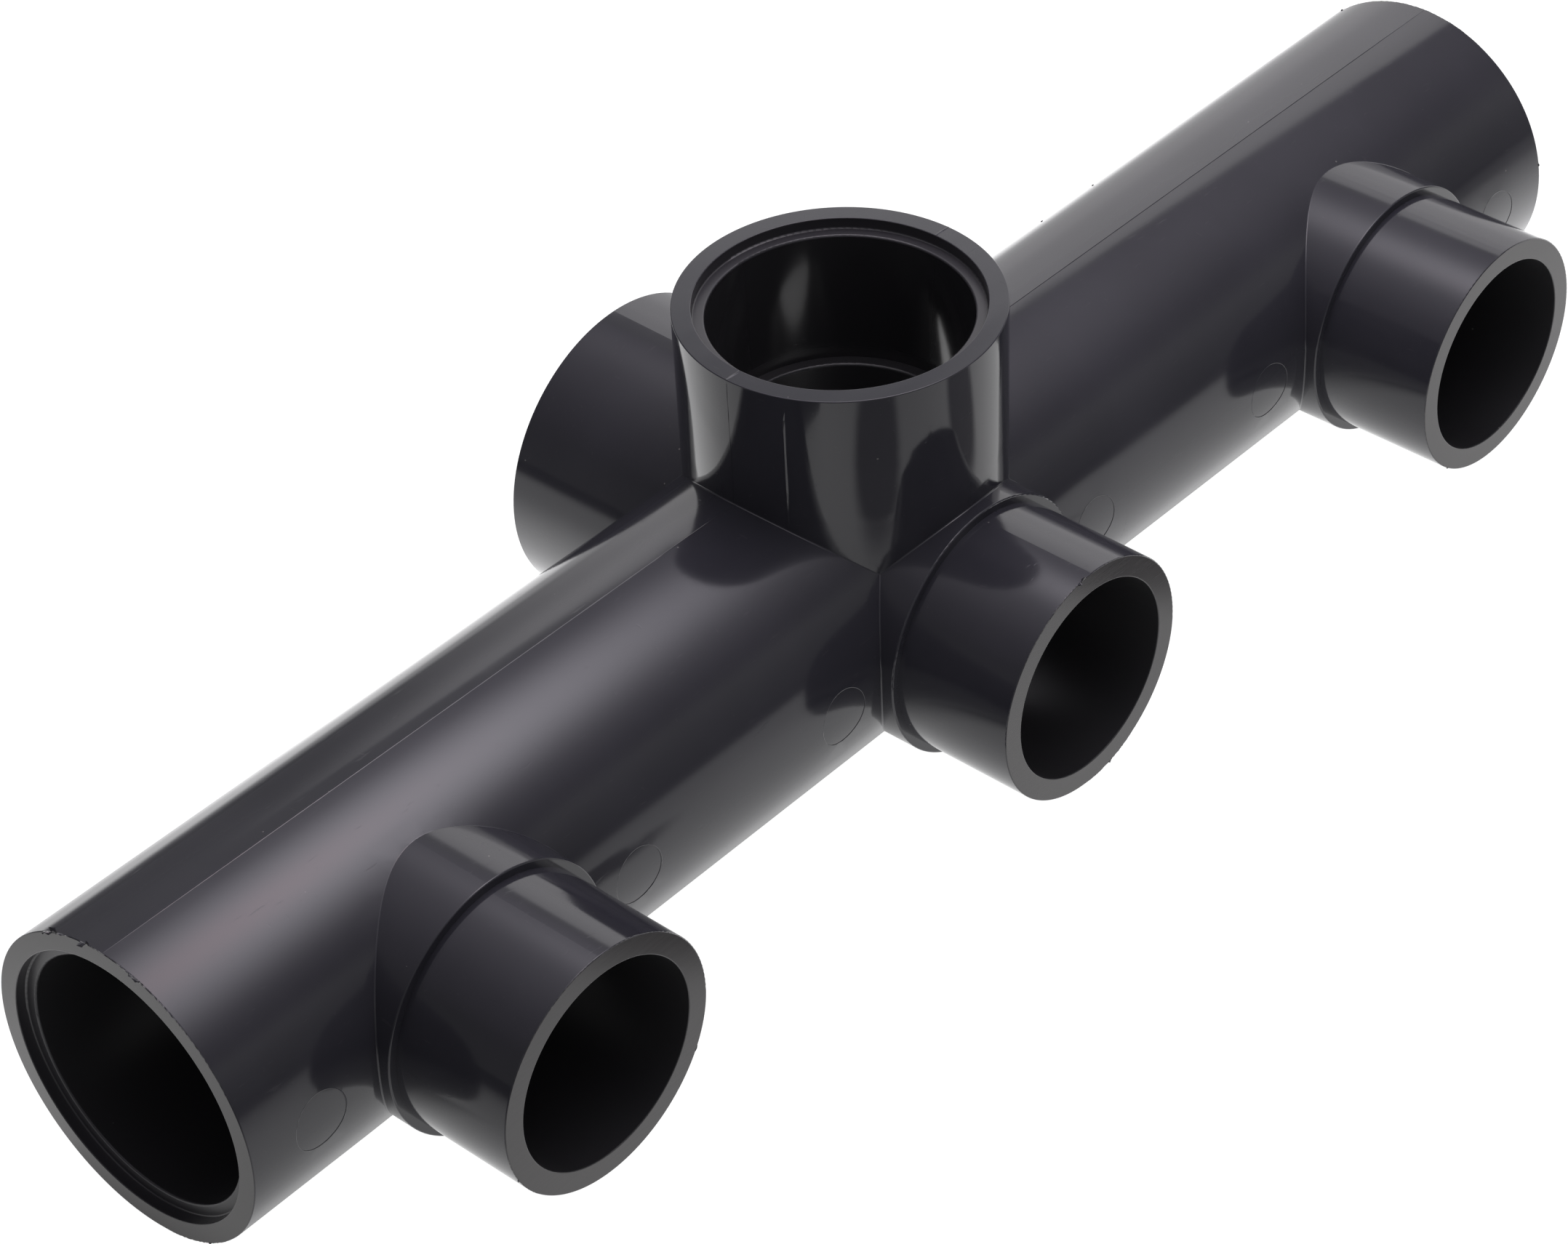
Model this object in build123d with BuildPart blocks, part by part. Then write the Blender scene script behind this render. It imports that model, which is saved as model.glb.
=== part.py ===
"""Manifold cross fitting for 63 mm solvent-cement pressure pipe.

A straight run with a socket at each end carries a top socket and a rear socket at its middle, and three
front branches that end in plain spigots. Lengths are in millimetres. X runs along the main run, +Y points
out of the rear socket and +Z out of the top socket. The origin lies under the point where the branch axes
cross, level with the lowest line of the run's ends, so the fitting stands on Z = 0.
"""

from build123d import *

import os

# Pipe system
PIPE_OD = 63.0
SPIGOT_WALL = 5.6
SOCKET_BORE = 63.5
WATERWAY_BORE = 57.0

# Run, with a slight draft from its ends to its middle
RUN_LENGTH = 474.0
RUN_END_OD = 79.2
RUN_MIDDLE_OD = 78.2

# Branches, measured out from the run's axis
BRANCH_REACH = 75.0
BRANCH_FACE_OD = 79.2
BRANCH_ROOT_OD = 77.6
FRONT_PITCH = 166.0
COLLAR_OD = 67.3
SHOULDER_REACH = 42.6

# Sockets, measured back from the mouth
STOP_DEPTH = 38.5
RECESS_DEPTH = 3.0
RECESS_BORE = 69.5
SOCKET_LENGTH = 32.4

# Where the plain lengths of the run begin and end, measured from its middle
HUB_END = 60.0
TEE_START = 127.0

# Rounded edges
ROOT_FILLET = 0.3
RIM_ROUND = 0.25
RECESS_ROUND = 0.4
LIP_ROUND = 0.5
STOP_ROUND = 0.6
SHOULDER_ROUND = 0.4

# Witness marks of the ejector pins, on the front of the run at the height of its axis
PIN_MARK_OD = 14.8
PIN_MARK_DEPTH = 0.08
HUB_PIN_MARK = 47.0
BARREL_PIN_MARK = 117.5
END_PIN_MARK = 217.0

# Sizes that follow from the ones above
HALF_RUN = RUN_LENGTH / 2
RUN_SEAT = HALF_RUN - SOCKET_LENGTH
BRANCH_SEAT = BRANCH_REACH - SOCKET_LENGTH
AXIS_HEIGHT = RUN_END_OD / 2
WATERWAY_RADIUS = WATERWAY_BORE / 2
SOCKET_RADIUS = SOCKET_BORE / 2
SPIGOT_RADIUS = PIPE_OD / 2
SPIGOT_BORE_RADIUS = SPIGOT_RADIUS - SPIGOT_WALL

# Directions out of the point where the axes cross
LEFT = Vector(-1, 0, 0)
RIGHT = Vector(1, 0, 0)
FRONT = Vector(0, -1, 0)
REAR = Vector(0, 1, 0)
TOP = Vector(0, 0, 1)


def run_radius(reach):
    """Outer radius of the run at a distance from its middle."""
    return (RUN_MIDDLE_OD + (RUN_END_OD - RUN_MIDDLE_OD) * reach / HALF_RUN) / 2


def branch_radius(reach):
    """Outer radius of the top or rear branch at a distance from the run's axis."""
    return (BRANCH_ROOT_OD + (BRANCH_FACE_OD - BRANCH_ROOT_OD) * reach / BRANCH_REACH) / 2


def turned(direction, outline, rounds=0, x=0, mode=Mode.ADD):
    """Turns a closed outline of (radius, reach) points round the axis of the branch that leaves the run at x."""
    crossing = Vector(x, 0, AXIS_HEIGHT)
    radial = TOP if direction.Z == 0 else RIGHT
    with BuildSketch(Plane(origin=crossing, x_dir=radial, z_dir=radial.cross(direction))) as profile:
        with BuildLine():
            FilletPolyline(*outline, radius=rounds, close=True)
        make_face()
    revolve(profile.sketch, axis=Axis(crossing, direction), mode=mode)


def bar(direction, radius_at, start, end):
    """Solid drafted bar along a branch, from one reach to another."""
    turned(direction, [(0, start), (radius_at(start), start), (radius_at(end), end), (0, end)])


def bore(direction, radius, start, end, x=0):
    """Plain bore along a branch, from one reach to another."""
    turned(direction, [(0, start), (radius, start), (radius, end), (0, end)], x=x, mode=Mode.SUBTRACT)


def seat(direction, start, reach):
    """Waterway up to the pipe stop of the socket whose mouth lies at that reach, and the bore beyond the stop."""
    stop = reach - STOP_DEPTH
    end = reach - SOCKET_LENGTH
    outline = [
        (0, start),
        (WATERWAY_RADIUS, start),
        (WATERWAY_RADIUS, stop),
        (SOCKET_RADIUS, stop),
        (SOCKET_RADIUS, end),
        (0, end),
    ]
    turned(direction, outline, [0, 0, STOP_ROUND, 0, 0, 0], mode=Mode.SUBTRACT)


def collar(x):
    """Solid collar of the front branch at x, from the run's axis out to its shoulder."""
    radius = COLLAR_OD / 2
    outline = [(0, 0), (radius, 0), (radius, SHOULDER_REACH), (0, SHOULDER_REACH)]
    turned(FRONT, outline, [0, 0, SHOULDER_ROUND, 0], x)


def pin_mark(x):
    """Round witness mark at x, a shallow recess that follows the run's surface."""
    pin = Cylinder(PIN_MARK_OD / 2, RUN_END_OD, rotation=(90, 0, 0), align=(Align.CENTER, Align.CENTER, Align.MIN),
                   mode=Mode.PRIVATE)
    core = Cylinder(run_radius(abs(x)) - PIN_MARK_DEPTH, 2 * PIN_MARK_OD, rotation=(0, 90, 0), mode=Mode.PRIVATE)
    add(Pos(x, 0, AXIS_HEIGHT) * (pin - core), mode=Mode.SUBTRACT)


def cross_hub():
    """Middle of the run: seats of the top and rear sockets and the collar of the middle branch."""
    with BuildPart() as hub:
        for direction in (LEFT, RIGHT):
            bar(direction, run_radius, 0, HUB_END)
        for direction in (TOP, REAR):
            bar(direction, branch_radius, 0, BRANCH_SEAT)
        collar(0)
        fillet(edges().filter_by(GeomType.BSPLINE), radius=ROOT_FILLET)
        for direction in (LEFT, RIGHT):
            bore(direction, WATERWAY_RADIUS, 0, HUB_END)
        for direction in (TOP, REAR):
            seat(direction, 0, BRANCH_REACH)
        bore(FRONT, SPIGOT_BORE_RADIUS, 0, SHOULDER_REACH)
        for x in (-HUB_PIN_MARK, HUB_PIN_MARK):
            pin_mark(x)
    return hub


def barrel(direction):
    """Plain length of the run between the hub and a tee."""
    with BuildPart() as section:
        bar(direction, run_radius, HUB_END, TEE_START)
        bore(direction, WATERWAY_RADIUS, HUB_END, TEE_START)
        pin_mark(direction.X * BARREL_PIN_MARK)
    return section


def tee(direction):
    """Length of the run with an outer branch's collar and the seat of the end socket."""
    x = direction.X * FRONT_PITCH
    with BuildPart() as section:
        bar(direction, run_radius, TEE_START, RUN_SEAT)
        collar(x)
        fillet(edges().filter_by(GeomType.BSPLINE), radius=ROOT_FILLET)
        seat(direction, TEE_START, HALF_RUN)
        bore(FRONT, SPIGOT_BORE_RADIUS, 0, SHOULDER_REACH, x)
    return section


def socket(direction, radius_at, reach):
    """Socket from its seat to its mouth, with the recessed ring round the mouth."""
    start = reach - SOCKET_LENGTH
    floor = reach - RECESS_DEPTH
    outline = [
        (SOCKET_RADIUS, start),
        (radius_at(start), start),
        (radius_at(reach), reach),
        (RECESS_BORE / 2, reach),
        (RECESS_BORE / 2, floor),
        (SOCKET_RADIUS, floor),
    ]
    turned(direction, outline, [0, 0, RIM_ROUND, RIM_ROUND, RECESS_ROUND, LIP_ROUND])


def end_socket(direction):
    """Socket at an end of the run, with the outermost pin mark."""
    with BuildPart() as section:
        socket(direction, run_radius, HALF_RUN)
        pin_mark(direction.X * END_PIN_MARK)
    return section


def branch_socket(direction):
    """Top or rear socket."""
    with BuildPart() as section:
        socket(direction, branch_radius, BRANCH_REACH)
    return section


def spigot(x):
    """Plain pipe-sized end of the front branch at x, from the shoulder of its collar."""
    outline = [
        (SPIGOT_BORE_RADIUS, SHOULDER_REACH),
        (SPIGOT_RADIUS, SHOULDER_REACH),
        (SPIGOT_RADIUS, BRANCH_REACH),
        (SPIGOT_BORE_RADIUS, BRANCH_REACH),
    ]
    with BuildPart() as section:
        turned(FRONT, outline, [0, 0, RIM_ROUND, RIM_ROUND], x)
    return section


SECTIONS = {
    "cross_hub": cross_hub(),
    "left_barrel": barrel(LEFT),
    "right_barrel": barrel(RIGHT),
    "left_tee": tee(LEFT),
    "right_tee": tee(RIGHT),
    "left_end_socket": end_socket(LEFT),
    "right_end_socket": end_socket(RIGHT),
    "top_socket": branch_socket(TOP),
    "rear_socket": branch_socket(REAR),
    "left_spigot": spigot(-FRONT_PITCH),
    "middle_spigot": spigot(0),
    "right_spigot": spigot(FRONT_PITCH),
}

os.makedirs("parts", exist_ok=True)
for name, section in SECTIONS.items():
    section.part.label = name
    export_step(section.part, f"parts/{name}.step")
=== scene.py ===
"""Looks of the manifold cross fitting: dark grey moulded pipe plastic in a soft white studio."""

import math
import random

import bpy
from mathutils import Euler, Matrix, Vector


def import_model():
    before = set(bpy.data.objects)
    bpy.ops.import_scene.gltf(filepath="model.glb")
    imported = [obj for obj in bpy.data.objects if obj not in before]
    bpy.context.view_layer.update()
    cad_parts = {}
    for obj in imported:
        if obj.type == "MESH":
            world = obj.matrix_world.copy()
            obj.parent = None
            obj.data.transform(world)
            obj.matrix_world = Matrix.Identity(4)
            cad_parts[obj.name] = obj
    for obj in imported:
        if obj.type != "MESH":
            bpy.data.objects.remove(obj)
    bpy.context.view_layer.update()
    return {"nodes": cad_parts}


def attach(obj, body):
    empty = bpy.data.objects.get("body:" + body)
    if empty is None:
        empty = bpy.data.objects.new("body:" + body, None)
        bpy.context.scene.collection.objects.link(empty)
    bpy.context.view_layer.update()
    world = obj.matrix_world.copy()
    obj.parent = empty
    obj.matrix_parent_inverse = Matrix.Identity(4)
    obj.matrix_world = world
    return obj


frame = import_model()

MM = 0.001


# ---------------------------------------------------------------- sizes of the fitting
AXIS_HEIGHT = 39.6 * MM          # the run's axis above the table
RUN_END = 237.0 * MM             # from the middle to either end
BRANCH_REACH = 75.0 * MM         # from the run's axis to the mouth of any branch
TOP_END = AXIS_HEIGHT + BRANCH_REACH
END_RADIUS = 39.6 * MM           # outside of the run at its ends, and of the top and rear mouths
MIDDLE_RADIUS = 39.1 * MM        # outside of the run at its middle
SOCKET_RADIUS = 31.75 * MM
RECESS_RADIUS = 34.75 * MM
RECESS_DEPTH = 3.0 * MM
SPIGOT_RADIUS = 31.5 * MM
SPIGOT_BORE = 25.9 * MM
SPIGOT_PITCH = 166.0 * MM
PIN_MARKS = (-217.0 * MM, -117.5 * MM, -47.0 * MM, 47.0 * MM, 117.5 * MM, 217.0 * MM)
PIN_MARK_RADIUS = 7.45 * MM


def run_radius(x):
    """Outside of the run at a distance from its middle, in metres."""
    return MIDDLE_RADIUS + (END_RADIUS - MIDDLE_RADIUS) * abs(x) / RUN_END


# ---------------------------------------------------------------- node helpers
class Nodes:
    """Short way to write a node tree."""

    def __init__(self, tree):
        self.tree = tree
        tree.nodes.clear()

    def add(self, kind, inputs=None, **settings):
        node = self.tree.nodes.new(kind)
        for key, value in settings.items():
            setattr(node, key, value)
        for key, value in (inputs or {}).items():
            self.set(node.inputs[key], value)
        return node

    def set(self, socket, value):
        if isinstance(value, bpy.types.NodeSocket):
            self.tree.links.new(value, socket)
        else:
            socket.default_value = value

    def math(self, operation, a, b=0.0, c=0.0):
        return self.add("ShaderNodeMath", {0: a, 1: b, 2: c}, operation=operation).outputs[0]

    def total(self, *terms):
        result = terms[0]
        for term in terms[1:]:
            result = self.math("ADD", result, term)
        return result

    def both(self, *masks):
        result = masks[0]
        for mask in masks[1:]:
            result = self.math("MULTIPLY", result, mask)
        return result

    def either(self, *masks):
        result = masks[0]
        for mask in masks[1:]:
            result = self.math("MAXIMUM", result, mask)
        return result

    def above(self, value, limit):
        return self.math("GREATER_THAN", value, limit)

    def below(self, value, limit):
        return self.math("LESS_THAN", value, limit)

    def hypot(self, a, b):
        return self.math("SQRT", self.total(self.math("MULTIPLY", a, a), self.math("MULTIPLY", b, b)))

    def smooth(self, value, low, high, to_low=0.0, to_high=1.0):
        inputs = {"Value": value, "From Min": low, "From Max": high, "To Min": to_low, "To Max": to_high}
        return self.add("ShaderNodeMapRange", inputs, interpolation_type="SMOOTHSTEP").outputs[0]

    def mix(self, factor, a, b):
        return self.add("ShaderNodeMix", {0: factor, 2: a, 3: b}, data_type="FLOAT").outputs[0]

    def mix_color(self, factor, a, b):
        return self.add("ShaderNodeMix", {0: factor, 6: a, 7: b}, data_type="RGBA").outputs[2]

    def stretched(self, coords, scale, turn=(0, 0, 0)):
        node = self.add("ShaderNodeMapping", {"Vector": coords, "Scale": scale, "Rotation": turn})
        return node.outputs[0]

    def noise(self, coords, scale, detail=2.0, distortion=0.0):
        inputs = {"Vector": coords, "Scale": scale, "Detail": detail, "Distortion": distortion}
        return self.add("ShaderNodeTexNoise", inputs).outputs["Fac"]


# ---------------------------------------------------------------- the plastic
SKIN_DARK = (0.0265, 0.0262, 0.0328, 1)
SKIN_LIGHT = (0.0315, 0.0311, 0.0388, 1)
SCUFFED = (0.055, 0.053, 0.060, 1)
SAWN_DARK = (0.034, 0.0315, 0.032, 1)
SAWN_LIGHT = (0.038, 0.0355, 0.036, 1)
RIM = (0.019, 0.019, 0.026, 1)
TURNED = (0.027, 0.026, 0.030, 1)
BORE = (0.0230, 0.0227, 0.0245, 1)
DUST = (0.22, 0.21, 0.20, 1)

SKIN_ROUGHNESS = (0.09, 0.125)         # least and most
SCUFF_ROUGHNESS = 0.12                 # added where the skin is scuffed
POLISHED_ROUGHNESS = 0.075
BORE_ROUGHNESS = 0.36
POLISHED_BORE_ROUGHNESS = 0.13         # in the top socket
RECESS_ROUGHNESS = 0.36
RIM_ROUGHNESS = 0.14
SAWN_ROUGHNESS = (0.17, 0.21)

PEEL_DEPTH = 0.0020 * MM
RIPPLE_DEPTH = 0.020 * MM
POLISHED_RIPPLE_DEPTH = 0.065 * MM
CUT_DEPTH = 0.0011 * MM
SCRATCH_DEPTH = 0.004 * MM


def finish_masks(n, x, y, height, normal):
    """Where the ends were sawn, where a rim was moulded satin, and the turned recesses and the bores."""
    nx, ny, nz = (n.math("ABSOLUTE", part) for part in normal)
    across = n.math("ABSOLUTE", x)
    near_end = 0.1 * MM
    square_on = 0.9
    sawn = n.either(
        n.both(n.above(across, RUN_END - near_end), n.above(nx, square_on)),
        n.both(n.below(y, near_end - BRANCH_REACH), n.above(ny, square_on)),
    )
    rim = n.either(
        n.both(n.above(y, BRANCH_REACH - near_end), n.above(ny, square_on)),
        n.both(n.above(height, BRANCH_REACH - near_end), n.above(nz, square_on)),
    )
    off_run = n.hypot(y, height)
    off_top = n.hypot(x, y)
    off_rear = n.hypot(x, height)
    off_outer = n.math("ABSOLUTE", n.math("SUBTRACT", across, SPIGOT_PITCH))
    off_spigot = n.hypot(n.math("MINIMUM", across, off_outer), height)
    inside = SOCKET_RADIUS + 0.5 * MM
    bore = n.either(
        n.below(off_run, inside),
        n.both(n.above(height, 0.0), n.below(off_top, inside)),
        n.both(n.above(y, 0.0), n.below(off_rear, inside)),
        n.both(n.below(y, 0.0), n.below(off_spigot, SPIGOT_BORE + 0.1 * MM)),
    )
    wide = RECESS_RADIUS + 0.1 * MM
    deep = RECESS_DEPTH + 0.6 * MM
    recess = n.either(
        n.both(n.above(across, RUN_END - deep), n.below(off_run, wide)),
        n.both(n.above(height, BRANCH_REACH - deep), n.below(off_top, wide)),
        n.both(n.above(y, BRANCH_REACH - deep), n.below(off_rear, wide)),
    )
    return sawn, rim, recess, bore


def moulded_plastic():
    """Glossy dark grey skin with faint flow ripples, scuffs and dust, satin rims and recesses, sawn ends."""
    material = bpy.data.materials.new("pvc_u_moulded")
    material.use_nodes = True
    n = Nodes(material.node_tree)
    coords = n.add("ShaderNodeTexCoord").outputs["Object"]
    x, y, z = n.add("ShaderNodeSeparateXYZ", {0: coords}).outputs
    normal = n.add("ShaderNodeSeparateXYZ", {0: n.add("ShaderNodeNewGeometry").outputs["Normal"]}).outputs
    height = n.math("SUBTRACT", z, AXIS_HEIGHT)
    sawn, rim, recess, bore = finish_masks(n, x, y, height, normal)

    cloud = n.noise(coords, 26.0, 3.0)
    scuff = n.smooth(n.noise(n.stretched(coords, (1.0, 7.0, 7.0), (0.3, 0.2, 0.5)), 170.0, 3.0), 0.66, 0.74)
    nick = n.smooth(n.noise(n.stretched(coords, (6.0, 1.2, 5.0), (0.9, 0.4, 1.1)), 110.0, 2.0), 0.72, 0.76)
    speck = n.add("ShaderNodeTexVoronoi", {"Vector": coords, "Scale": 170.0}, feature="F1")
    chosen = n.add("ShaderNodeSeparateColor", {0: speck.outputs["Color"]}).outputs[0]
    dust = n.both(n.below(speck.outputs["Distance"], 0.042), n.above(chosen, 0.86))
    kerf = n.noise(n.stretched(coords, (1.0, 1.0, 16.0), (0.35, 0.25, 0.0)), 130.0, 3.0)

    skin = n.mix_color(n.smooth(cloud, 0.3, 0.7), SKIN_DARK, SKIN_LIGHT)
    skin = n.mix_color(n.math("MULTIPLY", n.either(scuff, nick), 0.18), skin, SCUFFED)
    color = n.mix_color(bore, skin, BORE)
    color = n.mix_color(recess, color, TURNED)
    color = n.mix_color(rim, color, RIM)
    color = n.mix_color(sawn, color, n.mix_color(n.smooth(kerf, 0.3, 0.7), SAWN_DARK, SAWN_LIGHT))
    color = n.mix_color(n.math("MULTIPLY", dust, 0.5), color, DUST)

    over_run = n.smooth(height, 38.0 * MM, 42.0 * MM)
    polished = n.both(over_run, n.below(n.hypot(x, y), END_RADIUS + 1.4 * MM))
    plain = n.smooth(cloud, 0.3, 0.7, *SKIN_ROUGHNESS)
    roughness = n.math("ADD", plain, n.math("MULTIPLY", scuff, SCUFF_ROUGHNESS))
    roughness = n.mix(polished, roughness, POLISHED_ROUGHNESS)
    roughness = n.mix(bore, roughness, n.mix(polished, BORE_ROUGHNESS, POLISHED_BORE_ROUGHNESS))
    roughness = n.mix(recess, roughness, RECESS_ROUGHNESS)
    roughness = n.mix(rim, roughness, RIM_ROUGHNESS)
    roughness = n.mix(sawn, roughness, n.smooth(kerf, 0.3, 0.7, *SAWN_ROUGHNESS))

    peel = n.math("MULTIPLY", n.noise(coords, 420.0), PEEL_DEPTH)
    wavy = n.mix(polished, RIPPLE_DEPTH, POLISHED_RIPPLE_DEPTH)
    ripple = n.math("MULTIPLY", n.noise(n.stretched(coords, (0.35, 1.0, 1.0)), 55.0, 1.0, 0.6), wavy)
    cuts = n.math("MULTIPLY", n.math("MULTIPLY", kerf, sawn), CUT_DEPTH)
    scratches = n.math("MULTIPLY", n.math("ADD", scuff, nick), -SCRATCH_DEPTH)
    bump = n.add("ShaderNodeBump", {"Strength": 1.0, "Distance": 1.0,
                                    "Height": n.total(peel, ripple, cuts, scratches)})
    shader = n.add("ShaderNodeBsdfPrincipled",
                   {"Base Color": color, "Roughness": roughness, "Normal": bump.outputs[0]})
    n.add("ShaderNodeOutputMaterial", {"Surface": shader.outputs[0]})
    return material


# ---------------------------------------------------------------- fine pieces on the moulding
def piece(name, vertices, faces, material):
    """New piece of the fitting, on its one body and in its one material slot."""
    mesh = bpy.data.meshes.new(name)
    mesh.from_pydata(vertices, [], faces)
    mesh.validate()
    obj = bpy.data.objects.new(name, mesh)
    bpy.context.scene.collection.objects.link(obj)
    mesh.materials.append(material)
    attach(obj, "root")
    return obj


FLANK_SINK = 0.02 * MM           # how far a ridge's flanks lie inside the wall, and how far its keel does
KEEL_SINK = 0.25 * MM


def ridge(name, points, outs, material, width=0.34 * MM, height=0.07 * MM, closed=False, uneven=0.45):
    """Thin solid ridge along a line of points on a wall; each out points away from the wall."""
    chance = random.Random(name)
    count = len(points)
    vertices = []
    for k, (point, out) in enumerate(zip(points, outs)):
        ahead = points[(k + 1) % count] if closed else points[min(k + 1, count - 1)]
        behind = points[k - 1] if closed else points[max(k - 1, 0)]
        side = (ahead - behind).normalized().cross(out)
        fade = 1.0 if closed else min(1.0, 0.2 + 6 * min(k, count - 1 - k) / count)
        rise = height * fade * chance.uniform(1 - uneven, 1.0)
        spread = width / 2 * chance.uniform(0.85, 1.1)
        vertices += [point + side * spread - out * FLANK_SINK, point + out * rise,
                     point - side * spread - out * FLANK_SINK, point - out * KEEL_SINK]
    faces = [] if closed else [(0, 1, 2, 3), tuple(4 * (count - 1) + i for i in (3, 2, 1, 0))]
    for k in range(count if closed else count - 1):
        a, b = 4 * k, 4 * ((k + 1) % count)
        faces += [(a + (i + 1) % 4, a + i, b + i, b + (i + 1) % 4) for i in range(4)]
    return piece(name, vertices, faces, material)


def straight_ridge(name, start, end, out, material, **sizes):
    """Ridge from start to end, uneven every few millimetres."""
    start, end = Vector(start), Vector(end)
    spacing = 3 * MM
    steps = max(2, round((end - start).length / spacing))
    points = [start.lerp(end, k / steps) for k in range(steps + 1)]
    return ridge(name, points, [Vector(out).normalized()] * (steps + 1), material, **sizes)


def flash_lines(material):
    """Where the mould halves met: crest and underside of the run, sides of the top socket and its rim."""
    faint = {"height": 0.05 * MM}
    shallow = {"width": 0.36 * MM, "height": 0.06 * MM}
    steep = {"width": 0.30 * MM, "height": 0.13 * MM, "uneven": 0.2}
    broad = {"width": 0.9 * MM, "height": 0.16 * MM, "uneven": 0.1}
    stop_short = 0.4 * MM
    for side, name, crest_size in ((-1, "left", shallow), (1, "right", steep)):
        socket_foot = (side * 38.6 * MM, 0, AXIS_HEIGHT + MIDDLE_RADIUS + 0.08 * MM)
        crest_end = (side * (RUN_END - stop_short), 0, 2 * END_RADIUS)
        straight_ridge(f"crest_flash_{name}", socket_foot, crest_end, (0, 0, 1), material, **crest_size)
        keel_start = (side * 2 * MM, 0, AXIS_HEIGHT - MIDDLE_RADIUS)
        keel_end = (side * 190 * MM, 0, 0.1 * MM)
        straight_ridge(f"underside_flash_{name}", keel_start, keel_end, (0, 0, -1), material, **faint)
        wall_foot = (side * (MIDDLE_RADIUS + 0.11 * MM), 0, AXIS_HEIGHT + MIDDLE_RADIUS)
        wall_top = (side * (END_RADIUS - 0.01 * MM), 0, TOP_END - stop_short)
        straight_ridge(f"top_socket_flash_{name}", wall_foot, wall_top, (side, 0, 0), material, **steep)
        rim_inside = (side * (RECESS_RADIUS + 0.15 * MM), 0, TOP_END)
        rim_outside = (side * (END_RADIUS - 0.15 * MM), 0, TOP_END)
        straight_ridge(f"top_rim_flash_{name}", rim_inside, rim_outside, (0, 0, 1), material, **broad)


def pin_rings(material):
    """Faint raised outline of the round pin marks on the front of the run."""
    steps = 72
    for x in PIN_MARKS:
        body = run_radius(x)
        points, outs = [], []
        for k in range(steps):
            turn = math.tau * k / steps
            up = PIN_MARK_RADIUS * math.sin(turn)
            out = Vector((0, -math.sqrt(body ** 2 - up ** 2), up)) / body
            points.append(Vector((x + PIN_MARK_RADIUS * math.cos(turn), 0, AXIS_HEIGHT)) + out * body)
            outs.append(out)
        side = "left" if x < 0 else "right"
        label = f"{side}_pin_ring_{abs(x) / MM:.0f}"
        ridge(label, points, outs, material, width=0.26 * MM, height=0.045 * MM, closed=True)


def drag_mark(material):
    """Fine upright line left on the front of the top socket when it came out of the mould."""
    turn = math.radians(-158.5)
    out = Vector((math.cos(turn), math.sin(turn), 0))
    foot = out * (MIDDLE_RADIUS + 0.07 * MM) + Vector((0, 0, AXIS_HEIGHT + 36.8 * MM))
    head = out * (END_RADIUS - 0.05 * MM) + Vector((0, 0, TOP_END - 3.5 * MM))
    size = {"width": 1.0 * MM, "height": 0.15 * MM, "uneven": 0.15}
    straight_ridge("top_socket_drag_mark", foot, head, out, material, **size)


def run_end(side):
    """A sawn end of the run: centre, way the face looks, direction of angle zero and outside radius."""
    return Vector((side * RUN_END, 0, AXIS_HEIGHT)), Vector((side, 0, 0)), Vector((0, 1, 0)), END_RADIUS


def spigot_end(x):
    """The sawn end of the spigot at x, in the same terms."""
    return Vector((x, -BRANCH_REACH, AXIS_HEIGHT)), Vector((0, -1, 0)), Vector((1, 0, 0)), SPIGOT_RADIUS


ENDS = {
    "left_end": run_end(-1),
    "right_end": run_end(1),
    "left_spigot": spigot_end(-SPIGOT_PITCH),
    "middle_spigot": spigot_end(0),
    "right_spigot": spigot_end(SPIGOT_PITCH),
}


def at_edge(end, angle):
    """Point on a sawn end's outer edge, with the way out of the axis and the way along the edge."""
    centre, face, first, radius = ENDS[end]
    turn = math.radians(angle)
    up = Vector((0, 0, 1))
    out = first * math.cos(turn) + up * math.sin(turn)
    return centre + out * radius, out, up * math.cos(turn) - first * math.sin(turn)


def saw_lips(material):
    """Ragged lip that the saw left along parts of the outer edges."""
    # End, first and last angle in degrees, height in mm
    runs = [("left_end", 80, 152, 0.16), ("left_end", 225, 262, 0.12), ("right_end", 40, 118, 0.10),
            ("left_spigot", 186, 222, 0.13), ("left_spigot", 96, 138, 0.08), ("middle_spigot", 97, 141, 0.13),
            ("middle_spigot", 268, 300, 0.10), ("right_spigot", 150, 214, 0.07)]
    per_degree = 1.5
    lip_sink = 0.10 * MM
    for count, (end, start, stop, height) in enumerate(runs, 1):
        face = ENDS[end][1]
        points, outs = [], []
        for k in range(int((stop - start) * per_degree) + 1):
            point, out, _ = at_edge(end, start + k / per_degree)
            lean = (out + face).normalized()
            points.append(point - lean * lip_sink)
            outs.append(lean)
        size = {"width": 0.22 * MM, "height": height * MM, "uneven": 0.95}
        ridge(f"{end}_saw_lip_{count}", points, outs, material, **size)


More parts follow.
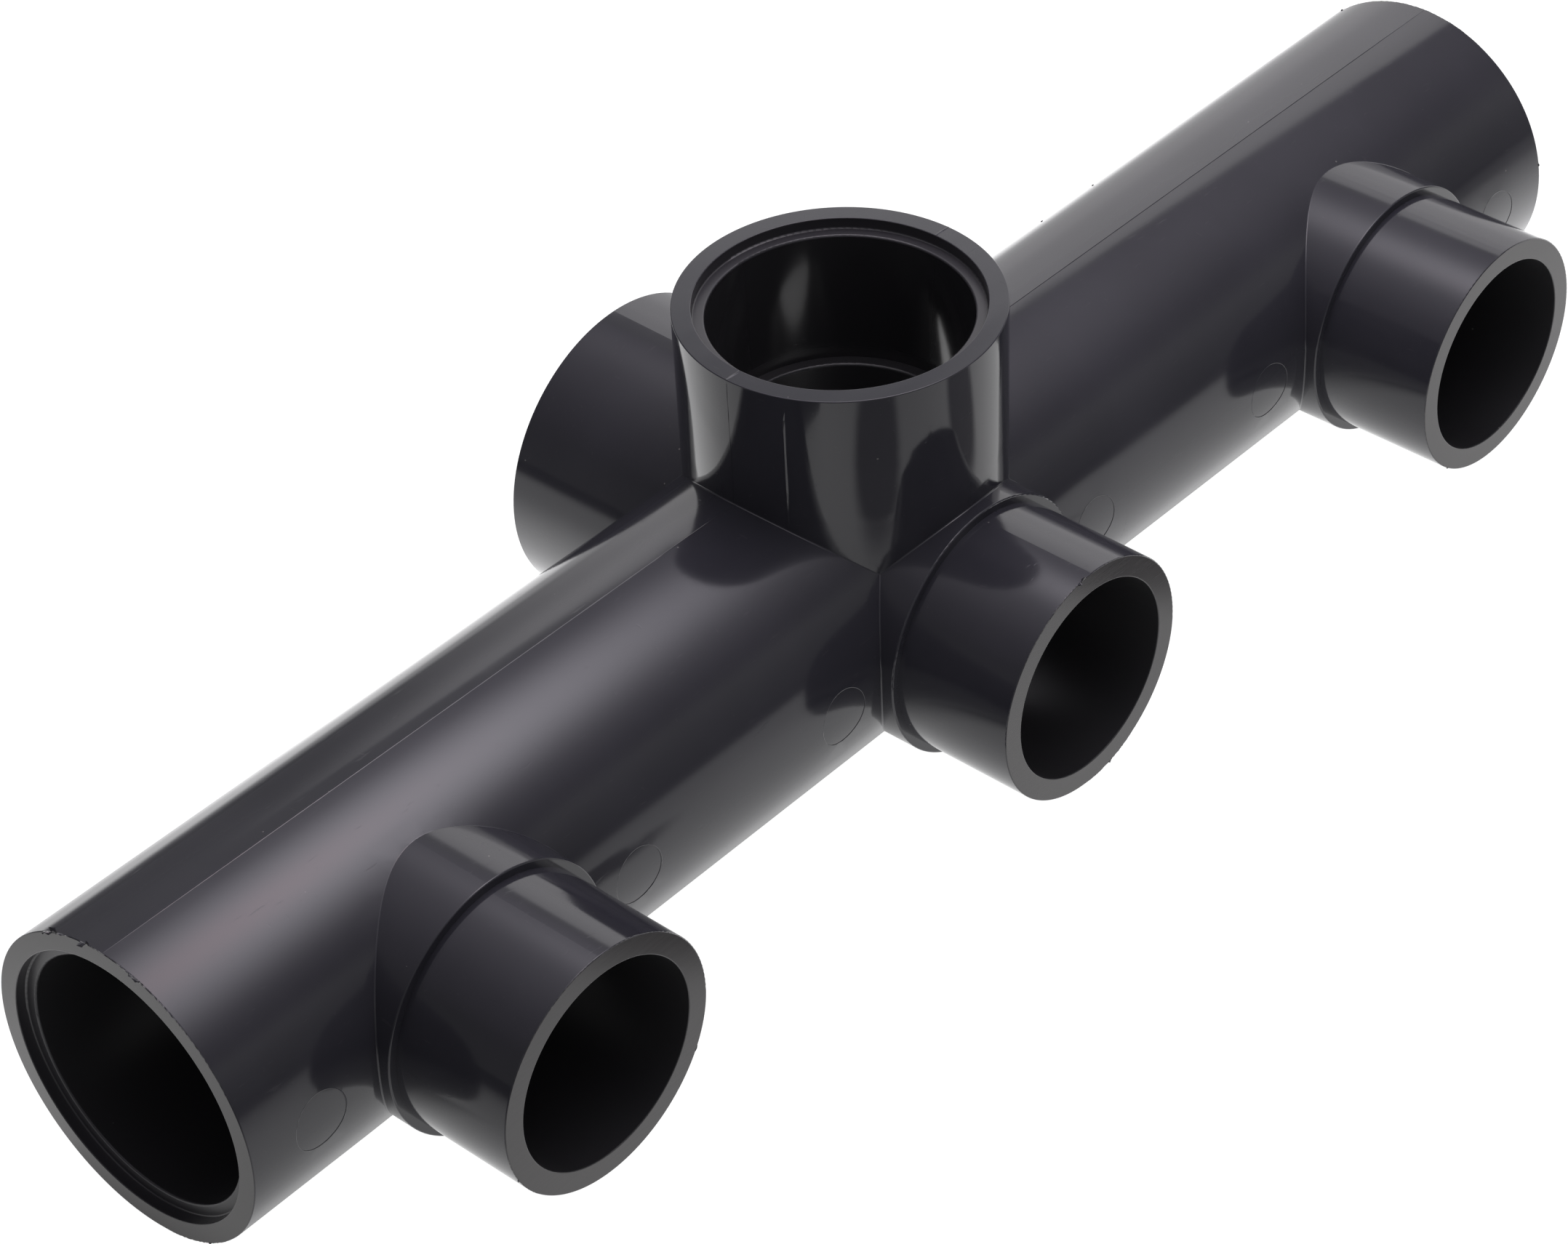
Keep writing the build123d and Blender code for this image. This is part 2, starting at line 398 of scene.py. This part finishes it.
def shaving(name, root, along, rise, length, reach, material, curl=0.5):
    """Thin torn flake with a ragged tip, rooted on an edge: a bent closed sheet."""
    chance = random.Random(name)
    bend = along.cross(rise).normalized()
    columns, rows = 6, 4
    thick = 0.11 * MM
    root_sink = 0.15 * MM
    sheet = []
    for i in range(columns):
        share = i / (columns - 1)
        tall = reach * math.sin(math.pi * (0.10 + 0.80 * share)) * chance.uniform(0.65, 1.0)
        for j in range(rows):
            up = j / (rows - 1)
            sheet.append((root + along * ((share - 0.5) * length * (1 - 0.35 * up))
                          + rise * (up * tall - root_sink) + bend * (curl * reach * up * up), 1.0 - 0.7 * up))
    vertices = [point + bend * thick * share for point, share in sheet]
    vertices += [point - bend * thick * share for point, share in sheet]
    back = len(sheet)
    faces = []
    for i in range(columns - 1):
        for j in range(rows - 1):
            a, b, c, d = i * rows + j, (i + 1) * rows + j, (i + 1) * rows + j + 1, i * rows + j + 1
            faces += [(a, b, c, d), (back + d, back + c, back + b, back + a)]
        low, next_low = i * rows, (i + 1) * rows
        faces += [(next_low, low, back + low, back + next_low),
                  (low + rows - 1, next_low + rows - 1, back + next_low + rows - 1, back + low + rows - 1)]
    last = (columns - 1) * rows
    for j in range(rows - 1):
        faces += [(j, j + 1, back + j + 1, back + j),
                  (last + j + 1, last + j, back + last + j, back + last + j + 1)]
    return piece(name, vertices, faces, material)


def burrs(material):
    """Torn flakes on the sawn ends, and three small hairs on the run."""
    # Angle in degrees, length and reach in mm, lean over the face, curl
    flakes = {
        "left_end": [(64, 3.2, 1.9, 0.5, 0.5), (67, 2.2, 2.3, 1.8, -0.5), (70, 2.6, 1.3, 0.3, 0.4),
                     (73, 1.2, 0.5, 0.1, 0.2), (81, 2.2, 1.6, 1.0, 0.6), (83, 1.2, 1.2, 0.3, -0.3),
                     (100, 2.4, 0.6, 0.1, 0.3), (104, 3.4, 1.2, 0.3, 0.5), (107, 1.6, 0.7, 1.0, -0.4),
                     (120, 2.4, 0.4, 0.1, 0.3), (150, 1.4, 0.4, 0.5, 0.3), (238, 1.6, 0.5, 0.3, 0.3)],
        "right_end": [(48, 1.4, 0.5, 0.2, 0.3), (171, 1.2, 0.5, 0.2, 0.4), (262, 1.6, 0.4, 0.3, 0.3)],
        "left_spigot": [(204, 1.4, 0.5, 0.4, 0.3), (118, 1.2, 0.3, 0.6, 0.2), (330, 1.4, 0.4, 0.2, 0.3)],
        "middle_spigot": [(95, 2.0, 0.9, 0.9, 0.5), (98, 1.4, 0.9, 1.5, -0.4), (284, 1.6, 0.8, 0.5, 0.4)],
        "right_spigot": [(232, 1.2, 0.4, 0.3, 0.3)],
    }
    for end, marks in flakes.items():
        face = ENDS[end][1]
        for count, (angle, length, reach, lean, curl) in enumerate(marks, 1):
            point, out, along = at_edge(end, angle)
            rise = (out + face * lean).normalized()
            shaving(f"{end}_burr_{count}", point, along, rise, length * MM, reach * MM, material, curl)
    hairs = ((155, 17), (131, 43), (110, 43))          # place along the run in mm, angle in degrees
    for count, (x, angle) in enumerate(hairs, 1):
        turn = math.radians(angle)
        out = Vector((0, math.cos(turn), math.sin(turn)))
        root = Vector((x * MM, 0, AXIS_HEIGHT)) + out * run_radius(x * MM)
        shaving(f"crest_hair_{count}", root, Vector((1, 0, 0)), out, 1.6 * MM, 0.45 * MM, material, 1.0)


# ---------------------------------------------------------------- studio
REARWARD = Vector((0.60, 0.80, 0))     # level direction from the camera's side to the backdrop
SIDEWAYS = Vector((0.80, -0.60, 0))
CEILING_HEIGHT = 0.70
CEILING_EDGE = 0.685                   # how far back the diffuser reaches
CEILING_SPREAD = 1.8
GLOW_CENTRE = (0.178, -0.015)
GLOW_STRENGTH = 3.45
HALO_STRENGTH = 0.92
WARM_CENTRE = (0.10, 0.02)
WARM_STRENGTH = 0.6
DIFFUSER_STRENGTH = 0.21               # everywhere
BACKDROP_DISTANCE = 0.90
BACKDROP_LEFT = -0.27
BACKDROP_RIGHT = 1.4
BACKDROP_TOP = 1.1
FLOOR_SPREAD = 4.0
FLOOR_GAP = 0.2 * MM                   # keeps the floor clear of the lowest line of the fitting
# Painted pools of light in the floor's glow, seen in reflections (centre, radius, extra), and darker painted
# patches in it (centre, half sizes)
BRIGHT_SPOTS = (((-0.050, 0.100), 0.055, 0.8), ((0.260, -0.040), 0.08, 0.5), ((-0.150, -0.085), 0.07, 0.25),
                ((0.010, -0.085), 0.06, 0.18), ((-0.252, 0.060), 0.038, 0.45))
DARK_FLOOR_PATCHES = (((-0.080, -0.150), (0.040, 0.046)), ((0.088, -0.150), (0.029, 0.046)))


def glow(name, light_of):
    """Emission whose tint, strength and fading out follow from the panel's own coordinates, in metres."""
    material = bpy.data.materials.new(name)
    material.use_nodes = True
    n = Nodes(material.node_tree)
    split = n.add("ShaderNodeSeparateXYZ", {0: n.add("ShaderNodeTexCoord").outputs["Object"]})
    tint, strength, fade = light_of(n, *split.outputs)
    shader = n.add("ShaderNodeEmission", {"Color": tint, "Strength": strength})
    clear = n.add("ShaderNodeBsdfTransparent")
    faded = n.add("ShaderNodeMixShader", {0: fade, 1: shader.outputs[0], 2: clear.outputs[0]})
    n.add("ShaderNodeOutputMaterial", {"Surface": faded.outputs[0]})
    return material


def panel(name, corners, material):
    """Flat sheet of the studio."""
    mesh = bpy.data.meshes.new(name)
    mesh.from_pydata([Vector(c) for c in corners], [], [tuple(range(len(corners)))])
    obj = bpy.data.objects.new(name, mesh)
    bpy.context.scene.collection.objects.link(obj)
    mesh.materials.append(material)
    return obj


def along(n, direction, x, y):
    """Distance along a level direction."""
    return n.total(n.math("MULTIPLY", x, direction[0]), n.math("MULTIPLY", y, direction[1]))


def bell(n, x, y, centre, wide, deep):
    """Soft round falloff, one at its centre."""
    u = n.math("DIVIDE", n.math("SUBTRACT", x, centre[0]), wide)
    v = n.math("DIVIDE", n.math("SUBTRACT", y, centre[1]), deep)
    square = n.total(n.math("MULTIPLY", u, u), n.math("MULTIPLY", v, v))
    return n.math("EXPONENT", n.math("MULTIPLY", square, -1.0))


def ceiling():
    """Overhead diffuser, brightest and a little warmer over the right of the fitting."""

    def light(n, x, y, z):
        core = n.math("MULTIPLY", bell(n, x, y, GLOW_CENTRE, 0.18, 0.31), GLOW_STRENGTH)
        halo = n.math("MULTIPLY", bell(n, x, y, GLOW_CENTRE, 0.565, 0.565), HALO_STRENGTH)
        warm = bell(n, x, y, WARM_CENTRE, 0.09, 0.16)
        tint = n.mix_color(warm, (1, 0.965, 1.050, 1), (1, 0.865, 0.94, 1))
        strength = n.total(core, halo, n.math("MULTIPLY", warm, WARM_STRENGTH), DIFFUSER_STRENGTH)
        return tint, strength, n.smooth(n.hypot(x, y), 0.95, 1.75)

    up = Vector((0, 0, CEILING_HEIGHT))
    corners = [REARWARD * CEILING_EDGE + SIDEWAYS * s + up for s in (-CEILING_SPREAD, CEILING_SPREAD)]
    corners += [REARWARD * -CEILING_SPREAD + SIDEWAYS * s + up for s in (CEILING_SPREAD, -CEILING_SPREAD)]
    return panel("overhead_diffuser", corners, glow("overhead_glow", light))


def backdrop():
    """Tall pale sheet behind the fitting, brighter towards its top and fading out at its left edge."""

    def light(n, x, y, z):
        low = n.smooth(z, 0.0, 0.23, 0.89, 1.14)
        strength = n.total(low, n.smooth(z, 0.23, 0.58, 0.0, 0.40))
        side = along(n, SIDEWAYS, x, y)
        above_top = n.smooth(n.math("SUBTRACT", z, n.math("MULTIPLY", side, 0.3)), 0.690, 0.740)
        fade = n.either(n.smooth(side, BACKDROP_LEFT, BACKDROP_LEFT + 0.25, 1.0, 0.0), above_top)
        return (1, 0.985, 0.995, 1), strength, fade

    behind = REARWARD * BACKDROP_DISTANCE
    outline = ((BACKDROP_LEFT, 0.0), (BACKDROP_RIGHT, 0.0), (BACKDROP_RIGHT, BACKDROP_TOP),
               (BACKDROP_LEFT, BACKDROP_TOP))
    corners = [behind + SIDEWAYS * s + Vector((0, 0, h)) for s, h in outline]
    return panel("backdrop", corners, glow("backdrop_glow", light))


def floor():
    """Pale floor: plain to the camera; for reflections its glow is brighter towards the back, with painted
    pools of light, a painted shadow under the run and darker painted patches, and falls off far out.
    """
    material = bpy.data.materials.new("pale_floor")
    material.use_nodes = True
    n = Nodes(material.node_tree)
    x, y, z = n.add("ShaderNodeSeparateXYZ", {0: n.add("ShaderNodeTexCoord").outputs["Object"]}).outputs
    back = along(n, REARWARD, x, y)
    side = along(n, SIDEWAYS, x, y)
    near = n.total(n.math("MULTIPLY", back, 1.1), n.smooth(back, 0.05, 0.16, 0.90, 1.13))
    # Painted pools of light added to the floor's glow.
    for centre, wide, extra in BRIGHT_SPOTS:
        near = n.total(near, n.math("MULTIPLY", bell(n, x, y, centre, wide, wide), extra))
    far = n.both(n.smooth(back, -0.1, 0.3, 0.08, 0.72), n.smooth(side, -0.30, -0.14, 0.1, 1.0))
    away = n.hypot(back, n.math("MULTIPLY", side, 0.75))
    lit = n.mix(n.smooth(away, 0.22, 0.41), near, far)
    # Painted shadow: the floor's glow is darkened in a band under the run, except past the run's ends.
    painted_shadow_under_run = n.smooth(n.math("ABSOLUTE", y), 0.010, 0.034, 0.12, 1.0)
    past_run = n.smooth(n.math("ABSOLUTE", x), 0.22, 0.25)
    lit = n.math("MULTIPLY", lit, n.either(painted_shadow_under_run, past_run))
    # Darker patches painted into the floor's glow, seen only in reflections.
    for (cx, cy), (wide, deep) in DARK_FLOOR_PATCHES:
        reach = n.hypot(n.math("DIVIDE", n.math("SUBTRACT", x, cx), wide),
                        n.math("DIVIDE", n.math("SUBTRACT", y, cy), deep))
        lit = n.math("MULTIPLY", lit, n.smooth(reach, 0.75, 1.20, 0.10, 1.0))
    seen = n.add("ShaderNodeLightPath").outputs["Is Camera Ray"]
    glow_shader = n.add("ShaderNodeEmission", {"Strength": n.mix(seen, lit, 1.0)})
    paint = n.add("ShaderNodeBsdfDiffuse", {"Color": (0.15, 0.15, 0.15, 1)})
    total = n.add("ShaderNodeAddShader", {0: glow_shader.outputs[0], 1: paint.outputs[0]})
    n.add("ShaderNodeOutputMaterial", {"Surface": total.outputs[0]})
    signs = ((-1, -1), (1, -1), (1, 1), (-1, 1))
    obj = panel("floor", [(a * FLOOR_SPREAD, b * FLOOR_SPREAD, 0) for a, b in signs], material)
    obj.location.z = -FLOOR_GAP


def world():
    """Dim room round the set for reflections, plain white to the camera."""
    w = bpy.data.worlds.new("studio")
    bpy.context.scene.world = w
    w.use_nodes = True
    n = Nodes(w.node_tree)
    x, y, z = n.add("ShaderNodeSeparateXYZ", {0: n.add("ShaderNodeTexCoord").outputs["Generated"]}).outputs
    rise = n.smooth(z, 0.0, 0.64)
    front = n.mix(rise, 0.19, 0.52)
    left = n.mix(rise, 0.17, 0.13)
    room = n.mix(n.smooth(along(n, SIDEWAYS, x, y), -0.7, 0.2), left, front)
    seen = n.add("ShaderNodeLightPath").outputs["Is Camera Ray"]
    shader = n.add("ShaderNodeBackground", {"Color": (1, 1, 1, 1), "Strength": n.mix(seen, room, 1.0)})
    n.add("ShaderNodeOutputWorld", {"Surface": shader.outputs[0]})


CAMERA_PLACE = (-0.660155, -0.594280, 0.736940)
CAMERA_TURN = (51.0400, 2.0807, -48.6280)
CAMERA_LENS = 106.689
CAMERA_SENSOR = 36.0


def camera():
    """Camera at the photograph's viewing angle."""
    data = bpy.data.cameras.new("camera")
    data.sensor_width = CAMERA_SENSOR
    data.lens = CAMERA_LENS
    data.clip_end = 50.0
    obj = bpy.data.objects.new("camera", data)
    obj.location = CAMERA_PLACE
    obj.rotation_euler = Euler([math.radians(a) for a in CAMERA_TURN])
    bpy.context.scene.collection.objects.link(obj)
    bpy.context.scene.camera = obj


plastic = moulded_plastic()
for node in frame["nodes"].values():
    node.data.materials.clear()
    node.data.materials.append(plastic)
flash_lines(plastic)
pin_rings(plastic)
drag_mark(plastic)
saw_lips(plastic)
burrs(plastic)

for lamp in (ceiling(), backdrop()):
    lamp.visible_camera = False
floor()
world()
camera()
bpy.context.scene.view_settings.view_transform = "Standard"
